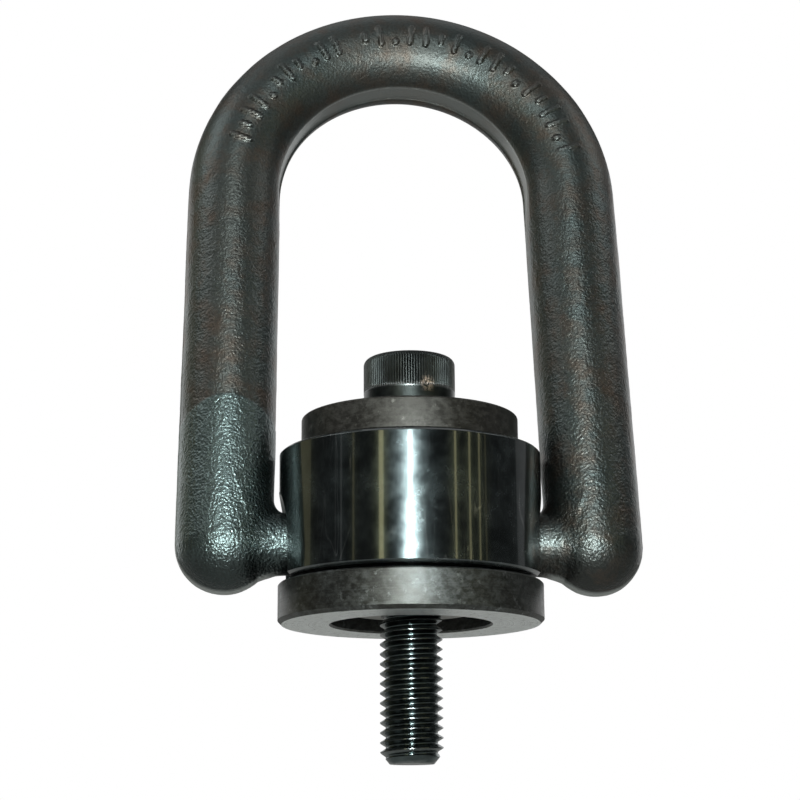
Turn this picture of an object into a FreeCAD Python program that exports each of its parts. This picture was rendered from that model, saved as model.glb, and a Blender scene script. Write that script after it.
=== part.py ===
import FreeCAD, Part
import math
import os
import Sketcher

# Swivel hoist ring on a 1/2-13 x 2 3/4 in. socket head cap screw. Lengths are millimetres.
# The origin is the centre of the flange's seat face. +Z runs up the screw towards its head,
# and X runs along the two trunnions of the U bar.

SIZES = [
    # screw
    ("thread_radius", 6.35),
    ("thread_top", 1.8),
    ("shank_radius", 6.14),
    ("stud_projection", 27.7),
    ("stud_end_radius", 4.45),
    ("stud_end_cone", 2.3),
    ("head_radius", 9.525),
    ("head_height", 12.9),
    ("head_edge_round", 1.1),
    ("socket_across_flats", 9.525),
    ("socket_depth", 6.8),
    # washer between the screw head and the sleeve
    ("washer_radius", 22.4),
    ("washer_bore_radius", 6.75),
    ("washer_bottom", 36.0),
    ("washer_top", 42.45),
    ("washer_chamfer", 0.35),
    # bushing: the flange with a recess under it, and the sleeve that the body turns on
    ("flange_radius", 27.0),
    ("flange_thickness", 8.1),
    ("flange_low_chamfer", 0.8),
    ("flange_top_chamfer", 0.35),
    ("recess_radius", 16.2),
    ("recess_depth", 4.4),
    ("sleeve_radius", 10.0),
    ("sleeve_bore_radius", 6.22),
    ("small_chamfer", 0.4),
    # swivel body, with a flat relief round each trunnion
    ("body_radius", 26.9),
    ("body_bottom", 8.8),
    ("body_top", 35.05),
    ("body_low_chamfer", 0.7),
    ("body_top_chamfer", 0.6),
    ("body_bore_radius", 10.06),
    ("relief_floor", 24.6),
    ("relief_radius", 8.7),
    ("relief_taper", 40.0),
    ("relief_overrun", 2.0),
    # trunnions, and the ring that keeps them in the body
    ("trunnion_height", 16.3),
    ("trunnion_radius", 6.35),
    ("trunnion_bore_radius", 6.42),
    ("trunnion_end", 10.6),
    ("trunnion_end_chamfer", 0.6),
    ("groove_start", 12.8),
    ("groove_stop", 16.4),
    ("groove_radius", 4.4),
    ("keeper_inner_radius", 13.9),
    ("keeper_outer_radius", 16.0),
    ("keeper_bottom", 9.0),
    ("keeper_top", 11.6),
    ("keeper_gap", 0.1),
    # ring in the recess that keeps the screw in the bushing
    ("clip_outer_radius", 12.5),
    ("clip_bottom", 2.3),
    ("clip_top", 4.0),
    # U bar; its lean and tilt are degrees
    ("bar_radius", 10.15),
    ("lobe_radius", 10.25),
    ("pivot_half_span", 37.85),
    ("arch_centre_height", 80.5),
    ("leg_lean", 0.56),
    ("lobe_blend", 14.8),
    ("inner_corner_round", 3.2),
    ("bail_tilt", 10.0),
]

SAME = 1e-6
LEAST_CUT = 1.0  # cubic millimetres that every pocket must remove
UP = FreeCAD.Vector(0, 0, 1)


def make_sheet(doc):
    """The driving dimensions, one aliased cell each."""
    sheet = doc.addObject("Spreadsheet::Sheet", "sizes")
    for row, (alias, value) in enumerate(SIZES, start=1):
        sheet.set(f"A{row}", alias)
        sheet.set(f"B{row}", str(value))
        sheet.setAlias(f"B{row}", alias)
    doc.recompute()


def cell(doc, alias):
    return float(doc.getObject("sizes").get(alias))


# --- sketches and features shared by the sub-parts ---


def new_body(doc, label):
    body = doc.addObject("PartDesign::Body", label)
    body.Label = label
    return body


def origin_plane(body, role):
    return next(plane for plane in body.Origin.OriginFeatures if plane.Role == role)


def new_sketch(body, name, role, height=None):
    """A sketch on one of the body's origin planes, or on a plane parallel to it."""
    sketch = body.newObject("Sketcher::SketchObject", name)
    sketch.AttachmentSupport = (origin_plane(body, role), [""])
    sketch.MapMode = "FlatFace"
    if height:
        sketch.setExpression("AttachmentOffset.Base.z", height)
    return sketch


def relate(sketch, *constraint):
    sketch.addConstraint(Sketcher.Constraint(*constraint))


def measure(sketch, expression, *constraint):
    """A constraint whose value is an expression of the sheet's cells."""
    index = sketch.addConstraint(Sketcher.Constraint(*constraint))
    sketch.setExpression(f"Constraints[{index}]", expression)


def draw_polygon(sketch, corners):
    """A closed outline. Each corner's two coordinates are expressions, so it starts anywhere."""
    count = len(corners)
    turn = 2 * math.pi / count
    start = [FreeCAD.Vector(math.cos(i * turn), math.sin(i * turn), 0) for i in range(count)]
    for i in range(count):
        sketch.addGeometry(Part.LineSegment(start[i], start[(i + 1) % count]), False)
    for i, (across, up) in enumerate(corners):
        relate(sketch, "Coincident", i, 2, (i + 1) % count, 1)
        measure(sketch, across, "DistanceX", -1, 1, i, 1, start[i].x)
        measure(sketch, up, "DistanceY", -1, 1, i, 1, start[i].y)


def turn_about_z(body, name, corners):
    """A ring or shaft turned from an outline of radius and height."""
    sketch = new_sketch(body, name + "_outline", "XZ_Plane")
    draw_polygon(sketch, corners)
    turned = body.newObject("PartDesign::Revolution", name)
    turned.Profile = sketch
    turned.ReferenceAxis = (sketch, ["V_Axis"])
    turned.Angle = 360
    return turned


def mirror_about_x(body, name, feature):
    mirrored = body.newObject("PartDesign::Mirrored", name)
    mirrored.Originals = [feature]
    mirrored.MirrorPlane = (origin_plane(body, "YZ_Plane"), [""])
    body.Tip = mirrored
    return mirrored


def ring_corners(inner, outer, low, high, chamfer):
    """A flat ring's outline with the same chamfer at its four corners."""
    return [
        (f"{inner} + {chamfer}", low),
        (f"{outer} - {chamfer}", low),
        (outer, f"{low} + {chamfer}"),
        (outer, f"{high} - {chamfer}"),
        (f"{outer} - {chamfer}", high),
        (f"{inner} + {chamfer}", high),
        (inner, f"{high} - {chamfer}"),
        (inner, f"{low} + {chamfer}"),
    ]


# --- the base: bushing and washer ---


def make_bushing(doc):
    """Flange with the recess under it, and the sleeve above it."""
    body = new_body(doc, "flanged_bushing")
    turn_about_z(body, "bushing", [
        ("sizes.recess_radius + sizes.small_chamfer", "0 mm"),
        ("sizes.flange_radius - sizes.flange_low_chamfer", "0 mm"),
        ("sizes.flange_radius", "sizes.flange_low_chamfer"),
        ("sizes.flange_radius", "sizes.flange_thickness - sizes.flange_top_chamfer"),
        ("sizes.flange_radius - sizes.flange_top_chamfer", "sizes.flange_thickness"),
        ("sizes.sleeve_radius", "sizes.flange_thickness"),
        ("sizes.sleeve_radius", "sizes.washer_bottom - sizes.small_chamfer"),
        ("sizes.sleeve_radius - sizes.small_chamfer", "sizes.washer_bottom"),
        ("sizes.sleeve_bore_radius + sizes.small_chamfer", "sizes.washer_bottom"),
        ("sizes.sleeve_bore_radius", "sizes.washer_bottom - sizes.small_chamfer"),
        ("sizes.sleeve_bore_radius", "sizes.recess_depth"),
        ("sizes.recess_radius", "sizes.recess_depth"),
        ("sizes.recess_radius", "sizes.small_chamfer"),
    ])
    return body


def make_washer(doc):
    """The thick washer that closes the top of the swivel."""
    body = new_body(doc, "top_washer")
    turn_about_z(body, "washer", ring_corners(
        "sizes.washer_bore_radius", "sizes.washer_radius",
        "sizes.washer_bottom", "sizes.washer_top", "sizes.washer_chamfer"))
    return body


# --- the screw and its ring ---


def top_edge(shape, radius):
    """The name of the highest round edge of a radius."""
    rims = []
    for number, edge in enumerate(shape.Edges, start=1):
        if isinstance(edge.Curve, Part.Circle) and abs(edge.Curve.Radius - radius) < SAME:
            rims.append((edge.BoundBox.ZMax, f"Edge{number}"))
    return max(rims)[1]


def make_screw(doc):
    """Socket head cap screw. The stud is plain, at the thread's outside diameter."""
    body = new_body(doc, "socket_head_screw")
    turn_about_z(body, "screw", [
        ("0 mm", "-sizes.stud_projection"),
        ("sizes.stud_end_radius", "-sizes.stud_projection"),
        ("sizes.thread_radius", "sizes.stud_end_cone - sizes.stud_projection"),
        ("sizes.thread_radius", "sizes.thread_top"),
        ("sizes.shank_radius", "sizes.thread_top"),
        ("sizes.shank_radius", "sizes.washer_top"),
        ("sizes.head_radius", "sizes.washer_top"),
        ("sizes.head_radius", "sizes.washer_top + sizes.head_height"),
        ("0 mm", "sizes.washer_top + sizes.head_height"),
    ])
    outline = new_sketch(body, "socket_outline", "XY_Plane", "sizes.washer_top + sizes.head_height")
    corner = "sizes.socket_across_flats / sqrt(3)"
    draw_polygon(outline, [
        (f"{corner} * cos({angle} deg)", f"{corner} * sin({angle} deg)") for angle in range(0, 360, 60)
    ])
    socket = body.newObject("PartDesign::Pocket", "socket")
    socket.Profile = outline
    socket.Type = "Length"
    socket.setExpression("Length", "sizes.socket_depth")
    doc.recompute()
    rounded = body.newObject("PartDesign::Fillet", "head_edge")
    rounded.Base = (socket, [top_edge(socket.Shape, cell(doc, "head_radius"))])
    rounded.setExpression("Radius", "sizes.head_edge_round")
    return body


def make_screw_ring(doc):
    """The ring on the screw, inside the flange's recess."""
    body = new_body(doc, "screw_retaining_ring")
    turn_about_z(body, "clip", ring_corners(
        "sizes.shank_radius", "sizes.clip_outer_radius",
        "sizes.clip_bottom", "sizes.clip_top", "sizes.small_chamfer / 2"))
    return body


# --- the swivel: body and trunnion ring ---


def draw_arch(sketch, radius, centre_up, foot_up):
    """A half circle on two straight sides: the relief round a trunnion, open below."""
    reach, rise, foot = 9.0, 16.0, 5.0
    crown = Part.Circle(FreeCAD.Vector(0, rise, 0), UP, reach)
    sides = [(-reach, rise), (-reach, foot), (reach, foot), (reach, rise)]
    points = [FreeCAD.Vector(across, up, 0) for across, up in sides]
    sketch.addGeometry(Part.ArcOfCircle(crown, 0, math.pi), False)
    for first, second in zip(points, points[1:]):
        sketch.addGeometry(Part.LineSegment(first, second), False)
    for edge in range(4):
        relate(sketch, "Coincident", edge, 2, (edge + 1) % 4, 1)
    relate(sketch, "Vertical", 1)
    relate(sketch, "Vertical", 3)
    relate(sketch, "Horizontal", 2)
    relate(sketch, "PointOnObject", 0, 3, -2)
    relate(sketch, "Horizontal", 0, 3, 0, 1)
    relate(sketch, "Horizontal", 0, 3, 0, 2)
    measure(sketch, centre_up, "DistanceY", -1, 1, 0, 3, rise)
    measure(sketch, foot_up, "DistanceY", -1, 1, 2, 1, foot)
    measure(sketch, radius, "Radius", 0, reach)


def cut_trunnion_bore(body):
    """One bore along X through both sides of the body."""
    outline = new_sketch(body, "trunnion_bore_outline", "YZ_Plane")
    rise, radius = 5.0, 3.0
    outline.addGeometry(Part.Circle(FreeCAD.Vector(0, rise, 0), UP, radius), False)
    relate(outline, "PointOnObject", 0, 3, -2)
    measure(outline, "sizes.trunnion_height", "DistanceY", -1, 1, 0, 3, rise)
    measure(outline, "sizes.trunnion_bore_radius", "Radius", 0, radius)
    bore = body.newObject("PartDesign::Pocket", "trunnion_bore")
    bore.Profile = outline
    bore.Type = "ThroughAll"
    bore.SideType = "Symmetric"


def cut_reliefs(body):
    """A flat with a bevelled arch round each end of the trunnion bore."""
    outline = new_sketch(body, "relief_outline", "YZ_Plane", "sizes.relief_floor")
    draw_arch(outline, "sizes.relief_radius", "sizes.trunnion_height",
              "sizes.body_bottom - sizes.relief_overrun")
    relief = body.newObject("PartDesign::Pocket", "relief")
    relief.Profile = outline
    relief.Type = "Length"
    relief.Reversed = True
    relief.setExpression("Length", "sizes.body_radius - sizes.relief_floor + sizes.relief_overrun")
    relief.setExpression("TaperAngle", "sizes.relief_taper")
    mirror_about_x(body, "second_relief", relief)


def make_swivel_body(doc):
    """The block that turns on the sleeve. A slot under it takes the trunnion ring."""
    body = new_body(doc, "swivel_body")
    slot_in = "sizes.keeper_inner_radius - sizes.keeper_gap"
    slot_out = "sizes.keeper_outer_radius + sizes.keeper_gap"
    slot_top = "sizes.keeper_top + sizes.keeper_gap"
    turn_about_z(body, "block", [
        ("sizes.body_bore_radius + sizes.small_chamfer", "sizes.body_bottom"),
        (slot_in, "sizes.body_bottom"),
        (slot_in, slot_top),
        (slot_out, slot_top),
        (slot_out, "sizes.body_bottom"),
        ("sizes.body_radius - sizes.body_low_chamfer", "sizes.body_bottom"),
        ("sizes.body_radius", "sizes.body_bottom + sizes.body_low_chamfer"),
        ("sizes.body_radius", "sizes.body_top - sizes.body_top_chamfer"),
        ("sizes.body_radius - sizes.body_top_chamfer", "sizes.body_top"),
        ("sizes.body_bore_radius + sizes.small_chamfer", "sizes.body_top"),
        ("sizes.body_bore_radius", "sizes.body_top - sizes.small_chamfer"),
        ("sizes.body_bore_radius", "sizes.body_bottom + sizes.small_chamfer"),
    ])
    cut_trunnion_bore(body)
    cut_reliefs(body)
    return body


def make_trunnion_ring(doc):
    """The ring in the body's slot that sits in both trunnion grooves."""
    body = new_body(doc, "trunnion_retaining_ring")
    turn_about_z(body, "keeper", ring_corners(
        "sizes.keeper_inner_radius", "sizes.keeper_outer_radius",
        "sizes.keeper_bottom", "sizes.keeper_top", "sizes.small_chamfer / 2"))
    return body


# --- the U bar ---


def draw_bar_path(doc, sketch):
    """Centre line of the bar: a leg, the arch and the other leg, tangent to each other."""
    half_span = cell(doc, "pivot_half_span")
    centre_up = cell(doc, "arch_centre_height")
    lean = math.radians(cell(doc, "leg_lean"))
    radius = half_span * math.cos(lean) - centre_up * math.sin(lean)
    touch = FreeCAD.Vector(radius * math.cos(lean), centre_up + radius * math.sin(lean), 0)
    far_touch = FreeCAD.Vector(-touch.x, touch.y, 0)
    arch = Part.Circle(FreeCAD.Vector(0, centre_up, 0), UP, radius)
    sketch.addGeometry(Part.LineSegment(FreeCAD.Vector(half_span, 0, 0), touch), False)
    sketch.addGeometry(Part.ArcOfCircle(arch, lean, math.pi - lean), False)
    sketch.addGeometry(Part.LineSegment(far_touch, FreeCAD.Vector(-half_span, 0, 0)), False)
    relate(sketch, "Tangent", 0, 2, 1, 1)
    relate(sketch, "Tangent", 1, 2, 2, 1)
    relate(sketch, "PointOnObject", 0, 1, -1)
    relate(sketch, "PointOnObject", 2, 2, -1)
    relate(sketch, "PointOnObject", 1, 3, -2)
    measure(sketch, "sizes.pivot_half_span", "DistanceX", -1, 1, 0, 1, half_span)
    measure(sketch, "sizes.pivot_half_span", "DistanceX", 2, 2, -1, 1, half_span)
    measure(sketch, "sizes.arch_centre_height", "DistanceY", -1, 1, 1, 3, centre_up)


def draw_lobe(doc, sketch):
    """Half outline of a trunnion with its groove, the blend, and the round end of the leg."""
    half_span, ball = cell(doc, "pivot_half_span"), cell(doc, "lobe_radius")
    shaft, blend = cell(doc, "trunnion_radius"), cell(doc, "lobe_blend")
    end, chamfer = cell(doc, "trunnion_end"), cell(doc, "trunnion_end_chamfer")
    groove_start, groove_stop = cell(doc, "groove_start"), cell(doc, "groove_stop")
    groove = cell(doc, "groove_radius")
    reach = math.sqrt((blend + ball) ** 2 - (blend + shaft) ** 2)
    angle = math.atan2(blend + shaft, reach)
    corners = [
        (end, 0), (end, shaft - chamfer), (end + chamfer, shaft), (groove_start, shaft),
        (groove_start, groove), (groove_stop, groove), (groove_stop, shaft), (half_span - reach, shaft),
    ]
    points = [FreeCAD.Vector(across, up, 0) for across, up in corners]
    for first, second in zip(points, points[1:]):
        sketch.addGeometry(Part.LineSegment(first, second), False)
    blend_circle = Part.Circle(FreeCAD.Vector(half_span - reach, shaft + blend, 0), UP, blend)
    end_circle = Part.Circle(FreeCAD.Vector(half_span, 0, 0), UP, ball)
    tip = FreeCAD.Vector(half_span + ball, 0, 0)
    blend_arc = sketch.addGeometry(Part.ArcOfCircle(blend_circle, -math.pi / 2, -angle), False)
    end_arc = sketch.addGeometry(Part.ArcOfCircle(end_circle, 0, math.pi - angle), False)
    axis_line = sketch.addGeometry(Part.LineSegment(tip, points[0]), False)
    last_line = blend_arc - 1
    for line in range(last_line):
        relate(sketch, "Coincident", line, 2, line + 1, 1)
    relate(sketch, "Tangent", last_line, 2, blend_arc, 1)
    relate(sketch, "Tangent", blend_arc, 2, end_arc, 2)
    relate(sketch, "Coincident", end_arc, 1, axis_line, 1)
    relate(sketch, "Coincident", axis_line, 2, 0, 1)
    for line in (0, 3, 5):
        relate(sketch, "Vertical", line)
    for line in (2, 4, last_line):
        relate(sketch, "Horizontal", line)
    relate(sketch, "PointOnObject", 0, 1, -1)
    relate(sketch, "PointOnObject", end_arc, 1, -1)
    relate(sketch, "PointOnObject", end_arc, 3, -1)
    measure(sketch, "sizes.trunnion_end", "DistanceX", -1, 1, 0, 1, end)
    measure(sketch, "sizes.trunnion_end_chamfer", "DistanceX", 1, 1, 1, 2, chamfer)
    measure(sketch, "sizes.trunnion_end_chamfer", "DistanceY", 1, 1, 1, 2, chamfer)
    measure(sketch, "sizes.trunnion_radius", "DistanceY", -1, 1, 2, 1, shaft)
    measure(sketch, "sizes.groove_start", "DistanceX", -1, 1, 3, 1, groove_start)
    measure(sketch, "sizes.groove_radius", "DistanceY", -1, 1, 4, 1, groove)
    measure(sketch, "sizes.groove_stop", "DistanceX", -1, 1, 5, 1, groove_stop)
    measure(sketch, "sizes.trunnion_radius", "DistanceY", -1, 1, last_line, 1, shaft)
    measure(sketch, "sizes.lobe_blend", "Radius", blend_arc, blend)
    measure(sketch, "sizes.lobe_radius", "Radius", end_arc, ball)
    measure(sketch, "sizes.pivot_half_span", "DistanceX", -1, 1, end_arc, 3, half_span)


def make_bar(doc, body):
    """The round bar, swept from one pivot to the other."""
    path = new_sketch(body, "bar_path", "XZ_Plane")
    draw_bar_path(doc, path)
    section = new_sketch(body, "bar_section", "XY_Plane")
    section.AttachmentOffset = FreeCAD.Placement(
        FreeCAD.Vector(0, 0, 0), FreeCAD.Rotation(FreeCAD.Vector(0, -1, 0), 1))
    section.setExpression("AttachmentOffset.Base.x", "sizes.pivot_half_span")
    section.setExpression("AttachmentOffset.Rotation.Angle", "sizes.leg_lean * 1 deg")
    radius = cell(doc, "bar_radius")
    section.addGeometry(Part.Circle(FreeCAD.Vector(0, 0, 0), UP, radius), False)
    relate(section, "Coincident", 0, 3, -1, 1)
    measure(section, "sizes.bar_radius", "Radius", 0, radius)
    bar = body.newObject("PartDesign::AdditivePipe", "bar")
    bar.Profile = section
    bar.Spine = (path, [])


def inner_corner_edges(doc, shape):
    """The edges where a leg's inner side meets its trunnion, above the pivot axis."""
    names = []
    for number, edge in enumerate(shape.Edges, start=1):
        box = edge.BoundBox
        inner, outer = sorted((abs(box.XMin), abs(box.XMax)))
        on_leg = inner > cell(doc, "body_radius") and outer < cell(doc, "pivot_half_span")
        above = box.ZMin > -1 and box.ZMax > cell(doc, "trunnion_radius")
        if on_leg and above:
            names.append(f"Edge{number}")
    return names


def make_u_bar(doc):
    """The forged bail: drawn upright about its pivot axis, then tilted back to where it lies."""
    body = new_body(doc, "u_bar")
    make_bar(doc, body)
    outline = new_sketch(body, "lobe_outline", "XZ_Plane")
    draw_lobe(doc, outline)
    lobe = body.newObject("PartDesign::Revolution", "lobe")
    lobe.Profile = outline
    lobe.ReferenceAxis = (outline, ["H_Axis"])
    lobe.Angle = 360
    mirrored = mirror_about_x(body, "second_lobe", lobe)
    doc.recompute()
    corner = body.newObject("PartDesign::Fillet", "inner_corner")
    corner.Base = (mirrored, inner_corner_edges(doc, mirrored.Shape))
    corner.setExpression("Radius", "sizes.inner_corner_round")
    body.Placement = FreeCAD.Placement(
        FreeCAD.Vector(0, 0, 0), FreeCAD.Rotation(FreeCAD.Vector(-1, 0, 0), 1))
    body.setExpression("Placement.Base.z", "sizes.trunnion_height")
    body.setExpression("Placement.Rotation.Angle", "sizes.bail_tilt * 1 deg")
    return body


# --- checks and output ---


def check(doc, parts):
    """Stops before anything is written if a feature failed or a shape isn't sound."""
    for item in doc.Objects:
        if "Invalid" in item.State or "Error" in item.State:
            raise ValueError(f"{item.Label} failed: {item.State}")
        if item.TypeId == "PartDesign::Pocket":
            removed = item.BaseFeature.Shape.Volume - item.Shape.Volume
            if removed < LEAST_CUT:
                raise ValueError(f"{item.Label} cuts nothing")
    for part in parts:
        shape = part.Shape
        if shape.isNull() or not shape.isValid() or len(shape.Solids) != 1:
            raise ValueError(f"{part.Label} is not one sound solid")


def main():
    doc = FreeCAD.newDocument("hoist_ring")
    make_sheet(doc)
    makers = [make_bushing, make_washer, make_screw, make_screw_ring,
              make_swivel_body, make_trunnion_ring, make_u_bar]
    parts = [maker(doc) for maker in makers]
    doc.recompute()
    check(doc, parts)
    os.makedirs("parts", exist_ok=True)
    for part in parts:
        part.Shape.exportStep(f"parts/{part.Label}.step")
        print(part.Label, f"{part.Shape.Volume:.0f} mm3")


main()
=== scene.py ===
import bmesh
import bpy
import math
import numpy as np
from mathutils import Matrix, Vector


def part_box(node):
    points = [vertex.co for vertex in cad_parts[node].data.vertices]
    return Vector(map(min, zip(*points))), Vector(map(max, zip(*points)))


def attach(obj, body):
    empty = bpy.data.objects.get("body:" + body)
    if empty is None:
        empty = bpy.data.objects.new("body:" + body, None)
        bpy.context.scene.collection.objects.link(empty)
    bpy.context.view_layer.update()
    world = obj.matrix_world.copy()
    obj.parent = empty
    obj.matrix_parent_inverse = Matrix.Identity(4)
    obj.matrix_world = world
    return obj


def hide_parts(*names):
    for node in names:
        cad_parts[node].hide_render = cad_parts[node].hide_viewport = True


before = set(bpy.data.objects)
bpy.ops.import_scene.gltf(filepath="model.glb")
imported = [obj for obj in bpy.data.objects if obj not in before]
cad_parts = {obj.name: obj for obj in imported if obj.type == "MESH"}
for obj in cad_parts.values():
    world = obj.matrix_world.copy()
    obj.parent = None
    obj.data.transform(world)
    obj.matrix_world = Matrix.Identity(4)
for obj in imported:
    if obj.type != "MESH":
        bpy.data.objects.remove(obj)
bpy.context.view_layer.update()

MM = 0.001

# ---------------------------------------------------------------- sizes, in millimetres
# The same as the CAD part's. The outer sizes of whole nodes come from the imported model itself.


def node_box(node):
    """The low and high corners of a CAD node."""
    low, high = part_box(node)
    return [v / MM for v in low], [v / MM for v in high]


_, FLANGE_HIGH = node_box("flanged_bushing")
WASHER_LOW, WASHER_HIGH = node_box("top_washer")
SCREW_LOW, SCREW_HIGH = node_box("socket_head_screw")
BODY_LOW, BODY_HIGH = node_box("swivel_body")
CLIP_LOW, CLIP_HIGH = node_box("screw_retaining_ring")

FLANGE_R = FLANGE_HIGH[0]
FLANGE_T = 8.1
RECESS_R, RECESS_D = 16.2, 4.4
SLEEVE_R, SLEEVE_BORE = 10.0, 6.22
SLEEVE_TOP = FLANGE_HIGH[2]
WASHER_R, WASHER_BORE = WASHER_HIGH[0], 6.75
BODY_R = BODY_HIGH[1]
BODY_BOTTOM, BODY_TOP = BODY_LOW[2], BODY_HIGH[2]
BODY_BORE = 10.06
RELIEF_FLOOR, RELIEF_R, RELIEF_TAPER = 24.6, 8.7, math.radians(40)
SLOT_IN, SLOT_OUT, SLOT_TOP = 13.8, 16.1, 11.7
PIVOT_Z = 16.3
TRUNNION_R, TRUNNION_BORE, TRUNNION_END = 6.35, 6.42, 10.6
GROOVE_R, GROOVE_IN, GROOVE_OUT = 4.4, 12.8, 16.4
CLIP_R = CLIP_HIGH[0]
SHANK_R, THREAD_R, THREAD_ROOT_R, PITCH = 6.14, 6.35, 5.2, 1.954
THREAD_TOP = 1.8
STUD_END, STUD_END_R, STUD_CONE = SCREW_LOW[2], 4.45, 2.3
HEAD_R, HEAD_LOW, HEAD_TOP = 9.525, WASHER_HIGH[2], SCREW_HIGH[2]
SOCKET_AF, SOCKET_DEPTH = 9.525, 6.8
HALF_SPAN, ARCH_Z, LEAN = 37.85, 80.5, math.radians(0.56)
ARCH_R = HALF_SPAN * math.cos(LEAN) - ARCH_Z * math.sin(LEAN)
TILT = math.radians(10.0)

# ---------------------------------------------------------------- mesh helpers


def new_object(name, verts, faces, smooth=True):
    """An object in the scene from points in millimetres."""
    mesh = bpy.data.meshes.new(name)
    mesh.from_pydata([tuple(v) for v in np.asarray(verts) * MM], [], faces)
    mesh.polygons.foreach_set("use_smooth", [smooth] * len(mesh.polygons))
    mesh.update()
    obj = bpy.data.objects.new(name, mesh)
    bpy.context.scene.collection.objects.link(obj)
    return obj


def full_turn(steps):
    """Evenly spaced angles round a circle."""
    return np.linspace(0, 2 * math.pi, steps, endpoint=False)


def grid_faces(rows, cols, wrap_rows=False):
    """Quads over rows of points, each row a closed ring. wrap_rows joins the last row to the first."""
    faces = []
    for i in range(rows if wrap_rows else rows - 1):
        above = (i + 1) % rows
        for j in range(cols):
            beside = (j + 1) % cols
            faces.append((i * cols + j, i * cols + beside, above * cols + beside, above * cols + j))
    return faces


def tube_faces(rows, cols):
    """Quads over rows of closed rings, and a cap on each end."""
    last = (rows - 1) * cols
    return grid_faces(rows, cols) + [tuple(range(cols)), tuple(reversed(range(last, last + cols)))]


def rounded(corners, steps=5):
    """A closed outline of (x, y, radius) corners, each rounded, with a support point beside each arc."""
    out = []
    n = len(corners)
    for i, (x, y, r) in enumerate(corners):
        p = np.array([x, y])
        a, b = np.array(corners[i - 1][:2]), np.array(corners[(i + 1) % n][:2])
        u, v = (a - p) / np.linalg.norm(a - p), (b - p) / np.linalg.norm(b - p)
        if r <= 0:
            out.append(p)
            continue
        half = math.acos(max(-1, min(1, float(u @ v)))) / 2
        reach = min(r / math.tan(half), 0.45 * np.linalg.norm(a - p), 0.45 * np.linalg.norm(b - p))
        r = reach * math.tan(half)
        centre = p + (u + v) / np.linalg.norm(u + v) * r / math.sin(half)
        s, e = p + u * reach, p + v * reach
        a0, a1 = math.atan2(*(s - centre)[::-1]), math.atan2(*(e - centre)[::-1])
        turn = (a1 - a0 + math.pi) % (2 * math.pi) - math.pi
        out.append(s + u * min(0.06, 0.3 * reach))
        for k in range(steps + 1):
            t = a0 + turn * k / steps
            out.append(centre + r * np.array([math.cos(t), math.sin(t)]))
        out.append(e + v * min(0.06, 0.3 * reach))
    return np.array(out)


def lathe(name, outline, segments):
    """A closed (radius, height) outline turned about Z. No point of it may lie on the axis."""
    turn = full_turn(segments)
    r, z = outline[:, 0][:, None], outline[:, 1][:, None]
    verts = np.stack([r * np.cos(turn), r * np.sin(turn), z + 0 * turn], -1).reshape(-1, 3)
    obj = new_object(name, verts, grid_faces(len(outline), segments, True))
    outward(obj)
    return obj


def outward(obj):
    """Every face turned outward."""
    bm = bmesh.new()
    bm.from_mesh(obj.data)
    bmesh.ops.recalc_face_normals(bm, faces=bm.faces)
    bm.to_mesh(obj.data)
    bm.free()
    obj.data.update()


def applied(obj):
    """Swaps the object's mesh for the one that its modifiers make."""
    dg = bpy.context.evaluated_depsgraph_get()
    mesh = bpy.data.meshes.new_from_object(obj.evaluated_get(dg))
    obj.modifiers.clear()
    old = obj.data
    obj.data = mesh
    bpy.data.meshes.remove(old)


def mark(obj, **layers):
    """Adds named values per vertex, which the materials read as attributes."""
    for name, values in layers.items():
        layer = obj.data.attributes.new(name, "FLOAT", "POINT")
        layer.data.foreach_set("value", np.asarray(values, np.float32))


def sharpen(obj, degrees):
    """Smooth shading, except across edges steeper than this."""
    for poly in obj.data.polygons:
        poly.use_smooth = True
    obj.data.set_sharp_from_angle(angle=math.radians(degrees))


# ---------------------------------------------------------------- node materials


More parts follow.
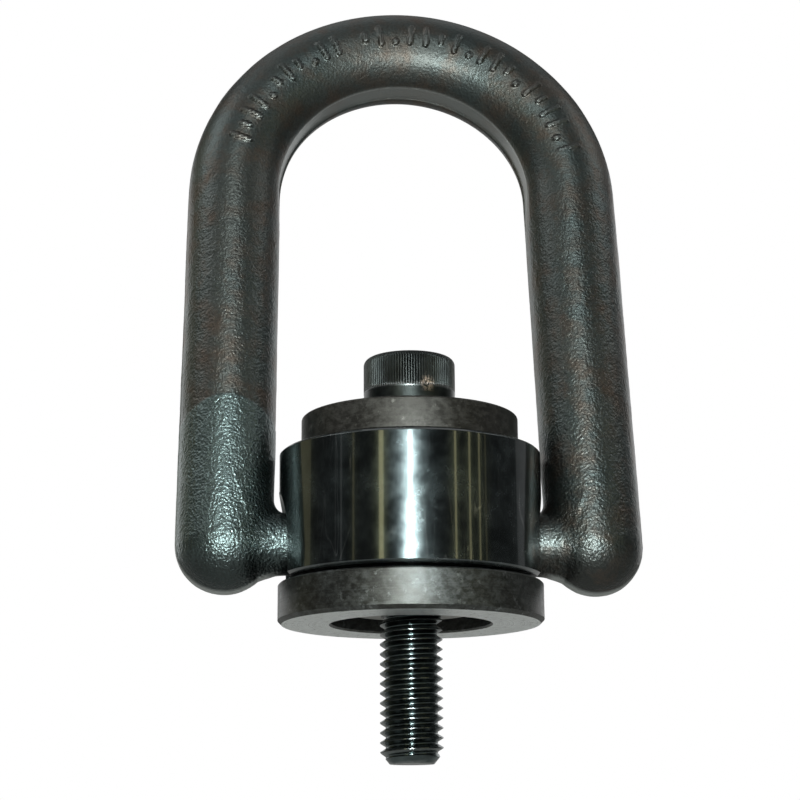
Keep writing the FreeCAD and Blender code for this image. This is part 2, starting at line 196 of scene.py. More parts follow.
class Nodes:
    """A material's node tree, built by short calls."""

    def __init__(self, name):
        self.mat = bpy.data.materials.new(name)
        self.mat.use_nodes = True
        self.tree = self.mat.node_tree
        self.shader = self.tree.nodes["Principled BSDF"]
        coords = self.tree.nodes.new("ShaderNodeTexCoord")
        self.place = coords.outputs["Object"]

    def node(self, kind, inputs=(), **props):
        """A new node with its inputs set or linked, and its properties set."""
        n = self.tree.nodes.new("ShaderNode" + kind)
        for key, value in props.items():
            setattr(n, key, value)
        for key, value in dict(inputs).items():
            self.put(n.inputs[key], value)
        return n

    def put(self, socket, value):
        if isinstance(value, bpy.types.NodeSocket):
            self.tree.links.new(value, socket)
        else:
            socket.default_value = value

    def math(self, op, a, b=0.0):
        return self.node("Math", {0: a, 1: b}, operation=op).outputs[0]

    def attribute(self, name):
        return self.node("Attribute", attribute_name=name).outputs["Fac"]

    def normal_z(self):
        """The upward part of the surface's normal."""
        return self.node("SeparateXYZ", {0: self.node("NewGeometry").outputs["Normal"]}).outputs[2]

    def noise(self, scale, detail=2.0, rough=0.5, vector=None, distortion=0.0):
        """Noise whose scale is in cycles per millimetre."""
        inputs = {"Vector": vector or self.place, "Scale": scale / MM, "Detail": detail,
                  "Roughness": rough, "Distortion": distortion}
        return self.node("TexNoise", inputs).outputs["Fac"]

    def lines(self, along, detail, rough):
        """Noise that varies only along one value, for rings and turning marks."""
        inputs = {"W": along, "Scale": 1.0, "Detail": detail, "Roughness": rough}
        return self.node("TexNoise", inputs, noise_dimensions="1D").outputs["Fac"]

    def stretch(self, x, y, z):
        return self.node("Mapping", {"Vector": self.place, "Scale": (x, y, z)}).outputs[0]

    def span(self, value, low, high, to_low=0.0, to_high=1.0):
        """The value carried from one range to another, and held at its ends."""
        inputs = {"Value": value, "From Min": low, "From Max": high, "To Min": to_low, "To Max": to_high}
        return self.node("MapRange", inputs, clamp=True).outputs[0]

    def mix(self, fac, a, b):
        """Colour a, or b where fac is 1. It also mixes plain values."""
        n = self.tree.nodes.new("ShaderNodeMix")
        n.data_type = "RGBA"
        for index, value in ((0, fac), (6, a), (7, b)):
            if isinstance(value, tuple) and len(value) == 3:
                value = (*value, 1)
            self.put(n.inputs[index], value)
        return n.outputs[2]

    def xyz(self):
        """The three coordinates in millimetres."""
        parts = self.node("SeparateXYZ", {0: self.place}).outputs
        return [self.math("MULTIPLY", part, 1 / MM) for part in parts]

    def radius(self):
        """The distance from the Z axis in millimetres."""
        x, y, _ = self.xyz()
        squares = self.math("ADD", self.math("MULTIPLY", x, x), self.math("MULTIPLY", y, y))
        return self.math("SQRT", squares)

    def bump(self, height, distance_mm, strength=1.0):
        inputs = {"Height": height, "Distance": distance_mm * MM, "Strength": strength}
        return self.node("Bump", inputs).outputs[0]

    def finish(self, **sockets):
        """Sets or links the shader's sockets, by short names, and gives back the material."""
        names = {"colour": "Base Color", "rough": "Roughness", "metal": "Metallic", "normal": "Normal",
                 "aniso": "Anisotropic", "aniso_turn": "Anisotropic Rotation", "tangent": "Tangent",
                 "coat": "Coat Weight", "coat_rough": "Coat Roughness",
                 "glow": "Emission Color", "glow_strength": "Emission Strength"}
        for key, value in sockets.items():
            if isinstance(value, tuple):
                value = (*value, 1)
            self.put(self.shader.inputs[names[key]], value)
        return self.mat


# Colours, linear.
SCALE_COOL, SCALE_PLAIN = (0.079, 0.1, 0.099), (0.09, 0.1, 0.095)
SCALE_DIPPED = (0.112, 0.145, 0.142)
# Painted shade: the dark colour given to the undersides of the lobes.
SCALE_PAINTED_SHADE = (0.035, 0.04, 0.039)
SCALE_PIT = (0.045, 0.047, 0.046)
BROWN_STAIN = (0.1, 0.076, 0.06)
RUBBED_MARK = (0.16, 0.165, 0.16)
TRIMMED_FLASH = (0.38, 0.4, 0.39)
FLANGE_LIGHT, FLANGE_DARK = (0.118, 0.128, 0.125), (0.07, 0.07, 0.064)
# The seat's bare machined metal, lightened far past bare steel as painted light from below.
SEAT_BARE_PAINTED_LIGHT = (0.93, 0.97, 0.96)
WASHER_LIGHT, WASHER_DARK = (0.092, 0.09, 0.083), (0.055, 0.053, 0.048)
POLISH_DARK, POLISH_LIGHT = (0.048, 0.06, 0.062), (0.1, 0.122, 0.124)
SCRATCH_BARE = (0.36, 0.38, 0.38)
HEAD_OXIDE, THREAD_OXIDE = (0.046, 0.053, 0.051), (0.1, 0.122, 0.122)
OXIDE_EDGE, WORN_SPOT = (0.3, 0.31, 0.31), (0.5, 0.42, 0.36)
RING_STEEL = (0.42, 0.42, 0.4)


def scaled(colour, by):
    return tuple(min(1, by * c) for c in colour)


def forged_material():
    """Black forged steel: pebbled satin scale with faint brown stains, and a cooler finish where the left
    leg was dipped. The trimmed flash is barer."""
    n = Nodes("forged_bail")
    grain = n.noise(1.9, 1.5, 0.5)
    coarse = n.noise(0.8, 2, 0.5)
    patch = n.noise(0.045, 3, 0.6)
    stain = n.noise(0.16, 4, 0.65)
    flash, high, dip, calm, low = [n.attribute(name) for name in ("flash", "high", "dip", "calm", "low")]
    brown = n.math("MULTIPLY", n.span(stain, 0.45, 0.68, 0.1, 0.8), n.math("SUBTRACT", 1.0, dip))
    colour = n.mix(n.span(patch, 0.4, 0.62), SCALE_COOL, SCALE_PLAIN)
    colour = n.mix(dip, colour, SCALE_DIPPED)
    # Painted shade: the lobes' undersides are darkened towards the bottom.
    colour = n.mix(n.math("MULTIPLY", low, 0.75), colour, SCALE_PAINTED_SHADE)
    colour = n.mix(brown, colour, BROWN_STAIN)
    colour = n.mix(n.span(grain, 0.3, 0.55, 0.35, 0), colour, SCALE_PIT)
    colour = n.mix(n.math("MULTIPLY", high, 0.35), colour, RUBBED_MARK)
    colour = n.mix(flash, colour, TRIMMED_FLASH)
    uneven = n.math("ADD", n.math("MULTIPLY", patch, 0.6), n.math("MULTIPLY", stain, 0.4))
    rough = n.span(uneven, 0.35, 0.65, 0.31, 0.4)
    rough = n.math("ADD", rough, n.math("MULTIPLY", calm, 0.12))
    height = n.math("ADD", grain, n.math("MULTIPLY", coarse, 0.7))
    normal = n.bump(n.math("MULTIPLY", height, n.math("SUBTRACT", 1.0, calm)), 0.23, 1.0)
    return n.finish(colour=colour, rough=rough, metal=1.0, normal=normal)


def turned_material(name, colour, dark, rough, groove, vary, seat_colour=None):
    """Machined steel with turning marks: rings that follow the radius on faces and the height on sides.
    seat_colour is the bare metal of the ring that seats on the load, lightened as painted light from below."""
    n = Nodes(name)
    _, _, z = n.xyz()
    r = n.radius()
    on_face = n.math("ABSOLUTE", n.normal_z())
    across = n.mix(n.span(on_face, 0.4, 0.6), z, r)
    rings = n.lines(n.math("MULTIPLY", across, 3.5), 4.0, 0.7)
    cloud = n.noise(0.09, 4, 0.6)
    speck = n.noise(0.9, 3, 0.6)
    tint = n.mix(n.span(cloud, 0.38, 0.64), dark, colour)
    tint = n.mix(n.span(rings, 0.3, 0.7, 0, vary), tint, scaled(colour, 1.5))
    tint = n.mix(n.span(speck, 0.5, 0.68, 0, 0.5), tint, dark)
    blotch = n.noise(0.6, 5, 0.72, n.stretch(1, 1, 1.4))
    tint = n.mix(n.span(blotch, 0.42, 0.6, 0.6, 0), tint, scaled(dark, 0.45))
    tint = n.mix(n.span(n.noise(0.5, 4, 0.7), 0.6, 0.7, 0, 0.5), tint, scaled(colour, 2.2))
    if seat_colour:
        # The seat ring underneath: bare machined metal, partly painted light, much lighter than the rest.
        under = n.span(n.normal_z(), -0.9, -0.8, 1, 0)
        seat = n.math("MULTIPLY", under, n.span(r, RECESS_R - 0.2, RECESS_R + 0.1))
        bare = n.mix(n.span(rings, 0.3, 0.7), seat_colour, scaled(seat_colour, 0.7))
        bare = n.mix(n.span(blotch, 0.35, 0.55, 0.5, 0), bare, scaled(seat_colour, 0.55))
        bare = n.mix(n.span(speck, 0.6, 0.7, 0, 0.7), bare, dark)
        tint = n.mix(seat, tint, bare)
    roughness = n.math("ADD", n.span(blotch, 0.35, 0.65, rough - 0.07, rough + 0.07),
                       n.span(rings, 0.3, 0.7, -0.04, 0.04))
    height = n.math("ADD", n.math("MULTIPLY", rings, groove), n.math("MULTIPLY", speck, 0.3 * groove))
    return n.finish(colour=tint, rough=roughness, metal=1.0, normal=n.bump(height, 0.03, 1.0))


def polished_material():
    """Ground and polished black steel: fine rings round the block, wiped haze and a few scratches."""
    n = Nodes("polished_body")
    _, _, z = n.xyz()
    rings = n.lines(n.math("MULTIPLY", z, 9.0), 3.0, 0.6)
    haze = n.noise(0.13, 5, 0.68, distortion=0.25)
    fine = n.noise(0.6, 4, 0.6, n.stretch(1, 1, 0.6))
    scratch = 0.0
    for scale, turn in ((0.16, 0.5), (0.12, -0.7), (0.2, 1.3)):
        mapping = {"Vector": n.place, "Rotation": (turn, turn, 0.3), "Scale": (1, 1, 0.08)}
        tilted = n.node("Mapping", mapping).outputs[0]
        line = n.math("ABSOLUTE", n.math("SUBTRACT", n.noise(scale, 2, 0.5, tilted, 0.8), 0.5))
        scratch = n.math("MAXIMUM", scratch, n.span(line, 0.0, 0.004, 1, 0))
    scratch = n.math("MULTIPLY", scratch, n.span(n.noise(0.09, 3), 0.5, 0.6))
    colour = n.mix(n.span(haze, 0.4, 0.65), POLISH_DARK, POLISH_LIGHT)
    colour = n.mix(n.math("MULTIPLY", scratch, 0.55), colour, SCRATCH_BARE)
    rough = n.math("ADD", n.span(haze, 0.4, 0.68, 0.19, 0.28), n.span(fine, 0.4, 0.7, 0, 0.04))
    height = n.math("ADD", rings, n.math("MULTIPLY", scratch, -1.2))
    tangent = n.node("Tangent", direction_type="RADIAL", axis="Z").outputs[0]
    return n.finish(colour=colour, rough=rough, metal=1.0, normal=n.bump(height, 0.002, 0.5),
                    aniso=0.6, aniso_turn=0.25, tangent=tangent, coat=1.0, coat_rough=0.045)


def screw_material(name, colour, shine):
    """Black oxide on alloy steel, thin on crests and worn in patches."""
    n = Nodes(name)
    patch = n.noise(0.25, 4, 0.62)
    speck = n.noise(1.6, 3, 0.6)
    colour = n.mix(n.span(patch, 0.4, 0.62), scaled(colour, 0.68), colour)
    edge = n.math("MULTIPLY", n.attribute("edge"), n.span(speck, 0.3, 0.6, 0.5, 1))
    worn = n.math("MULTIPLY", n.attribute("worn"), n.span(speck, 0.42, 0.5))
    colour = n.mix(worn, n.mix(edge, colour, OXIDE_EDGE), WORN_SPOT)
    rough = n.span(patch, 0.35, 0.65, shine, shine + 0.12)
    return n.finish(colour=colour, rough=rough, metal=1.0, normal=n.bump(speck, 0.02, 0.7))


def steel_material(name, colour, rough):
    """Plain pressed steel with a faint grain and dark specks of oil."""
    n = Nodes(name)
    grain = n.noise(1.2, 3, 0.6)
    patch = n.noise(0.2, 4, 0.6)
    tint = n.mix(n.span(patch, 0.4, 0.65), scaled(colour, 0.7), colour)
    tint = n.mix(n.span(grain, 0.62, 0.72, 0, 0.5), tint, scaled(colour, 0.35))
    return n.finish(colour=tint, rough=n.span(patch, 0.3, 0.7, rough, rough + 0.12), metal=1.0,
                    normal=n.bump(grain, 0.02, 0.6))


# ---------------------------------------------------------------- U bar


# Large odd numbers that scramble a lattice corner into a repeatable random value.
SCRAMBLE_X, SCRAMBLE_Y, SCRAMBLE_Z = 73856093, 19349663, 83492791
SCRAMBLE_SEED, SCRAMBLE_MIX = 2654435, 1274126177


def lattice(cells, seed):
    """Repeatable random values between -1 and 1 for the corners of a lattice."""
    h = (cells[..., 0] * SCRAMBLE_X) ^ (cells[..., 1] * SCRAMBLE_Y) ^ (cells[..., 2] * SCRAMBLE_Z)
    h = h ^ (seed * SCRAMBLE_SEED)
    h = (h ^ (h >> 13)) * SCRAMBLE_MIX
    h = h ^ (h >> 16)
    return (h & 0xFFFFFF) / float(0xFFFFFF) * 2 - 1


def value_noise(p, size, seed):
    """Smooth noise between -1 and 1 on a lattice of that size in millimetres."""
    q = p / size
    base = np.floor(q).astype(np.int64)
    f = q - base
    f = f * f * f * (f * (f * 6 - 15) + 10)
    total = 0
    for corner in range(8):
        step = np.array([corner & 1, corner >> 1 & 1, corner >> 2 & 1])
        weight = np.prod(np.where(step, f, 1 - f), -1)
        total = total + weight * lattice(base + step, seed)
    return total


def smoothstep(x, low, high):
    """0 below low, 1 above high, and smooth between them."""
    t = np.clip((x - low) / (high - low), 0, 1)
    return t * t * (3 - 2 * t)


TOUCH_X = ARCH_R * math.cos(LEAN)
TOUCH_Z = ARCH_Z + ARCH_R * math.sin(LEAN)
LEG = math.hypot(HALF_SPAN - TOUCH_X, TOUCH_Z)
ROUND_AT_LOBE, ROUND_AT_BOW = 9.92, 10.08  # the bar's radius at its two ends
LOBE_BLEND = 14.8  # radius of the hollow where a lobe narrows into its trunnion
LOBE_DROP = 0.955  # the lobes hang a little below round
FLASH_RISE = 0.22
FLASH_HALF, FLASH_EDGE = 1.25, 0.45  # the outer flash: half its width, and the width of its soft edge
FLASH_FROM = 27.0  # it starts this far from the object's middle
LAND_IN, LAND_IN_LEG = 9.5, 0.42  # the trimmed land: how far in it lies, and how much further on the legs
LINE_RISE, LINE_AT = 0.13, 3.1  # the thin inner parting line, and how far from the middle it is on the bow
DIP_LINE, DIP_SAG = 28.9, 0.045  # where the left leg's cooler finish ends, and how that edge sags
BAR_VOXEL = 0.4


def along(p):
    """Distance along the bar from its pivot, and signed distance outward from its centre line."""
    x, z = np.abs(p[:, 0]), p[:, 2]
    dx, dz = (TOUCH_X - HALF_SPAN) / LEG, TOUCH_Z / LEG
    t = (x - HALF_SPAN) * dx + z * dz
    across = (x - HALF_SPAN) * dz - z * dx
    low = t < 0
    end = np.hypot(x - HALF_SPAN, np.where(z < 0, LOBE_DROP * z, z))
    angle = np.arctan2(z - ARCH_Z, x)
    bow = angle > LEAN
    bow_q = np.hypot(x, z - ARCH_Z) - ARCH_R
    s = np.where(bow & (t > 0.5 * LEG), LEG + ARCH_R * (angle - LEAN), np.clip(t, 0, LEG))
    q = np.where(bow & (t > 0.5 * LEG), bow_q, np.where(low, end, across))
    return s, q


def bar_round(s):
    """The bar's radius along its length."""
    return ROUND_AT_LOBE + (ROUND_AT_BOW - ROUND_AT_LOBE) * smoothstep(s, 10, 95)


def neck_field(p):
    """Distance-like field of the trunnion, its groove and the concave neck, turned about X."""
    x, rho = np.abs(p[:, 0]), np.hypot(p[:, 1], p[:, 2])
    ball = ROUND_AT_LOBE
    reach = math.sqrt((LOBE_BLEND + ball) ** 2 - (LOBE_BLEND + TRUNNION_R) ** 2)
    centre = HALF_SPAN - reach
    touch = centre + reach * LOBE_BLEND / (LOBE_BLEND + ball)
    shaft = rho - TRUNNION_R
    flare = LOBE_BLEND - np.hypot(x - centre, rho - TRUNNION_R - LOBE_BLEND)
    flare = np.where(rho > TRUNNION_R + LOBE_BLEND, shaft, flare)
    field = np.where(x < centre, shaft, flare)
    field = np.where(x > touch, np.maximum(field, x - touch), field)
    groove = np.minimum(rho - GROOVE_R, np.minimum(x - GROOVE_IN, GROOVE_OUT - x))
    bevel = (rho - TRUNNION_R + 0.6 + TRUNNION_END - x) / math.sqrt(2)
    return np.maximum(np.maximum(field, groove), np.maximum(TRUNNION_END - x, bevel))


# Plain raised marks round the front of the bow, in three rows: the angle of the row's middle in degrees, the
# pitch in millimetres, and the marks: | is a long tick, i a short one and . a dot.
MARK_ROWS = ((139.5, 3.3, "|i||.i|i.||"), (84.5, 3.5, "i|.||i|."), (37, 3.4, "||i.|i||.|"))
MARK_RISE = 0.5
TICK_HALF = {"|": 2.1, "i": 0.9}
DOT_DROP, DOT_R = 1.8, 0.2


def mark_places():
    """Each mark's angle round the bow, its kind and its lean."""
    rng = np.random.default_rng(11)
    places = []
    for centre, pitch, row in MARK_ROWS:
        for i, kind in enumerate(row):
            turn = math.radians(centre) + ((len(row) - 1) / 2 - i) * pitch / ARCH_R
            places.append((turn, kind, rng.uniform(-0.12, 0.12)))
    return places


MARKS = mark_places()


def raised_marks(p, q):
    """Height of the marks at points of the surface."""
    height = np.zeros(len(p))
    front = (p[:, 1] < -3) & (p[:, 2] > ARCH_Z + 8)
    if not front.any():
        return height
    f = p[front]
    turn = np.arctan2(f[:, 2] - ARCH_Z, f[:, 0])
    up = np.arctan2(q[front], -f[:, 1]) * 10.0
    best = np.zeros(len(f))
    for at, kind, lean in MARKS:
        a = (turn - at) * ARCH_R
        a, b = a * math.cos(lean) - up * math.sin(lean), a * math.sin(lean) + up * math.cos(lean)
        if kind in TICK_HALF:
            d = np.hypot(a, np.maximum(np.abs(b) - TICK_HALF[kind], 0))
        else:
            d = np.hypot(a, b + DOT_DROP) - DOT_R
        best = np.maximum(best, 1 - smoothstep(d, 0.3, 0.78))
    height[front] = MARK_RISE * best
    return height


def on_bow(s):
    """0 on the legs and 1 round the bow."""
    return smoothstep(s, LEG - 12, LEG + 6)


def bail_field(p):
    """The forged bar's surface is where this is zero, with p in the bail's own upright frame. Also the two
    measures of along(), and how much of the outer flash is at each point."""
    s, q = along(p)
    tube = np.hypot(q, p[:, 1]) - bar_round(s)
    neck = neck_field(p)
    soft = 0.05 + 3.0 * smoothstep(p[:, 2], 1.0, 8.0)
    h = np.clip(0.5 + 0.5 * (neck - tube) / soft, 0, 1)
    field = neck * (1 - h) + tube * h - soft * h * (1 - h)
    outer = np.where(p[:, 2] < 0, 1.0, (q > 0) * 1.0)
    bow = on_bow(s)
    # the inner side of the bow, where the flash was trimmed flat
    cut = -q - (LAND_IN + LAND_IN_LEG * (1 - bow)) + 0.02 * value_noise(p, 2.5, 5)
    ease = 0.35
    h = np.clip(0.5 - 0.5 * (cut - field) / ease, 0, 1)
    inner = cut * (1 - h) + field * h + ease * h * (1 - h)
    near = 1 - smoothstep(p[:, 1], 0.7, 1.7)
    field = np.where((q < 0) & (s > 25), inner * near + field * (1 - near), field)
    # parting line: a flat rim outside, a thin line inside
    wide = FLASH_HALF + 0.25 * value_noise(p, 6.0, 8)
    rim = (1 - smoothstep(np.abs(p[:, 1]), wide, wide + FLASH_EDGE)) * outer
    worn_down = 0.55 + 0.45 * (1 - smoothstep(s, 10, 60)) - 0.4 * bow
    rim = rim * worn_down * smoothstep(np.abs(p[:, 0]), FLASH_FROM, FLASH_FROM + 2)
    line = np.exp(-((np.abs(p[:, 1]) - LINE_AT * bow) / 0.32) ** 2) * (1 - outer) * smoothstep(s, 14, 20)
    line = line * (p[:, 1] < 0.8)
    return field - FLASH_RISE * rim - LINE_RISE * line, s, q, rim


def bail_height(p, s, q):
    """Hammered scale and slow unevenness, coarser on the legs than on the bow."""
    leg = 1 - smoothstep(s, LEG - 25, LEG + 15)
    forged = smoothstep(np.abs(p[:, 0]), 26.0, 28.5)
    pebble = 0.6 * value_noise(p, 0.85, 1) + 0.4 * value_noise(p, 1.5, 2)
    slow = 0.045 * value_noise(p, 9.0, 3) + 0.03 * value_noise(p, 4.0, 4)
    return forged * (pebble * (0.012 + 0.018 * leg) + slow - 0.03) + raised_marks(p, q)


def smooth_field(p):
    return bail_field(p)[0]


def whole_field(p):
    field, s, q, _ = bail_field(p)
    return field - bail_height(p, s, q)


def gradient(p, field, step=0.03):
    """The field and its slope at points."""
    value = field(p)
    g = np.empty_like(p)
    for axis in range(3):
        shift = np.zeros(3)
        shift[axis] = step
        g[:, axis] = (field(p + shift) - value) / step
    return value, g


def tube_mesh(line, radius, rings=28):
    """A closed tube round a flat line in the XZ plane."""
    line = np.asarray(line)
    ahead = np.gradient(line, axis=0)
    ahead /= np.linalg.norm(ahead, axis=1)[:, None]
    side = np.stack([ahead[:, 1], -ahead[:, 0]], 1)
    verts = []
    for (x, z), (sx, sz), r in zip(line, side, radius):
        for t in full_turn(rings):
            c = r * math.cos(t)
            verts.append((x + c * sx, r * math.sin(t), z + c * sz))
    return verts, tube_faces(len(line), rings)


def rough_u_bar():
    """Points and faces of the bar as joined tubes, remeshed evenly. They are then settled on the field."""
    lean = np.linspace(LEAN, math.pi - LEAN, 60)
    bow = [(ARCH_R * math.cos(t), ARCH_Z + ARCH_R * math.sin(t)) for t in lean]
    right = [(HALF_SPAN + (TOUCH_X - HALF_SPAN) * t, TOUCH_Z * t) for t in np.linspace(0, 1, 12)[:-1]]
    ends = [(HALF_SPAN, -ROUND_AT_LOBE * math.sin(t)) for t in np.linspace(1.5, 0.1, 8)]
    half = ends + right
    line = half + bow + [(-x, z) for x, z in reversed(half)]
    radius = [ROUND_AT_LOBE * math.sqrt(max(0.01, 1 - (min(0, z) / ROUND_AT_LOBE) ** 2)) for _, z in line]
    verts, faces = tube_mesh(line, radius)
    neck = [(TRUNNION_END, 5.9), (GROOVE_IN, 6.3), (GROOVE_IN + 0.1, GROOVE_R + 0.1),
            (GROOVE_OUT - 0.1, GROOVE_R + 0.1), (GROOVE_OUT, 6.3), (26, 6.4), (30, 7.4), (34, 9)]
    sides = 32
    for side in (1, -1):
        start = len(verts)
        for x, r in neck:
            verts += [(side * x, r * math.cos(t), r * math.sin(t)) for t in full_turn(sides)]
        faces += [tuple(start + i for i in face) for face in tube_faces(len(neck), sides)]
    mesh = bpy.data.meshes.new("u_bar_rough")
    mesh.from_pydata(verts, [], faces)
    rough = bpy.data.objects.new("u_bar_rough", mesh)
    bpy.context.scene.collection.objects.link(rough)
    outward(rough)
    voxel = rough.modifiers.new("voxel", "REMESH")
    voxel.mode, voxel.voxel_size = "VOXEL", BAR_VOXEL
    applied(rough)
    mesh = rough.data
    p = np.empty(len(mesh.vertices) * 3, np.float32)
    mesh.vertices.foreach_get("co", p)
    faces = [tuple(f.vertices) for f in mesh.polygons]
    bpy.data.objects.remove(rough)
    return p.reshape(-1, 3).astype(float), faces


def settle(p):
    """Moves points onto the bar's surface, first without its fine relief, and gives their normals."""
    for field in (smooth_field, smooth_field, smooth_field, whole_field, whole_field):
        value, g = gradient(p, field)
        size = np.maximum((g * g).sum(1), 0.15)
        move = (value / size)[:, None] * g
        length = np.linalg.norm(move, axis=1)
        p -= move * np.minimum(1, 0.8 / np.maximum(length, 1e-9))[:, None]
    _, g = gradient(p, whole_field, 0.06)
    return g / np.maximum(np.linalg.norm(g, axis=1), 1e-9)[:, None]


def bar_finish(p):
    """Where the bar is trimmed bare, rubbed on its marks, dipped, smoother than elsewhere, and given painted
    shade underneath.
    """
    _, s, q, rim = bail_field(p)
    bow = on_bow(s)
    land = (q < -9.2) * (1 - smoothstep(np.abs(p[:, 1] + 1.1), 2.0, 2.4)) * bow
    line = np.exp(-((np.abs(p[:, 1]) - LINE_AT * bow) / 0.3) ** 2) * ((q < -8) & (p[:, 1] < 0.8))
    flash = np.clip(0.8 * rim * (1 - smoothstep(s, 2, 20)) + 0.15 * rim + 0.5 * land + 0.5 * line, 0, 1)
    dip = (p[:, 0] < 0) * (1 - smoothstep(s + DIP_SAG * q * q, DIP_LINE, DIP_LINE + 0.5))
    return {"flash": flash,
            "high": np.clip(raised_marks(p, q) / MARK_RISE, 0, 1) ** 2,
            "dip": dip,
            "calm": np.clip(0.32 * (1 - dip) + 0.32 * bow + 0.6 * flash, 0, 0.9),
            # low is painted shade: darker towards the bottom of the lobes, except on the flash.
            "low": (1 - smoothstep(p[:, 2], -7.5, -2.0)) * (1 - flash)}


def make_u_bar():
    """The forged bail, made upright and then leaned back about its pivot."""
    p, faces = rough_u_bar()
    normals = settle(p)
    c, sn = math.cos(-TILT), math.sin(-TILT)
    lean = np.array([[1, 0, 0], [0, c, -sn], [0, sn, c]])
    bar = new_object("forged_u_bar", p @ lean.T + np.array([0, 0, PIVOT_Z]), faces)
    mark(bar, **bar_finish(p))
    bar.data.normals_split_custom_set_from_vertices([tuple(v) for v in normals @ lean.T])
    return bar


# ---------------------------------------------------------------- base


def make_bushing():
    """The flange with its recess below, and the sleeve that runs up inside the body."""
    low, high = 0.8, 0.35
    outline = rounded([
        (RECESS_R + 0.4, 0, 0.08), (FLANGE_R - low, 0, 0.12), (FLANGE_R, low, 0.15),
        (FLANGE_R, FLANGE_T - high, 0.12), (FLANGE_R - high, FLANGE_T, 0.12), (SLEEVE_R, FLANGE_T, 0.25),
        (SLEEVE_R, SLEEVE_TOP - 0.4, 0.1), (SLEEVE_R - 0.4, SLEEVE_TOP, 0.1),
        (SLEEVE_BORE + 0.4, SLEEVE_TOP, 0.1), (SLEEVE_BORE, SLEEVE_TOP - 0.4, 0.1),
        (SLEEVE_BORE, RECESS_D, 0.2), (RECESS_R, RECESS_D, 0.5), (RECESS_R, 0.4, 0.08)])
    return lathe("flanged_bushing_turned", outline, 320)


def make_washer():
    low, high = WASHER_LOW[2], WASHER_HIGH[2]
    outline = rounded([
        (WASHER_BORE, low, 0.3), (WASHER_R, low, 0.35), (WASHER_R, high, 0.5), (WASHER_BORE, high, 0.3)], 6)
    return lathe("thick_washer", outline, 320)


def make_clip():
    low, high = CLIP_LOW[2], CLIP_HIGH[2]
    outline = rounded([
        (SHANK_R, low, 0.15), (CLIP_R, low, 0.3), (CLIP_R, high, 0.3), (SHANK_R, high, 0.15)])
    return lathe("screw_ring", outline, 192)


# ---------------------------------------------------------------- screw


KNURL_TEETH, KNURL_DEPTH = 108, 0.2
KNURL_LOW, KNURL_HIGH = HEAD_LOW + 5.4, HEAD_TOP - 1.35
HEAD_EDGE = 1.45  # radius of the head's top edge
SOCKET_RIM_R = 5.75  # radius of the cone that eases the socket's mouth
DRILL_R, DRILL_TIP = 4.4, 1.2  # the drilled cone at the socket's floor
WORN_AT, WORN_Z = -1.25, 48.4  # the rubbed brown spot on the knurl: its angle and height


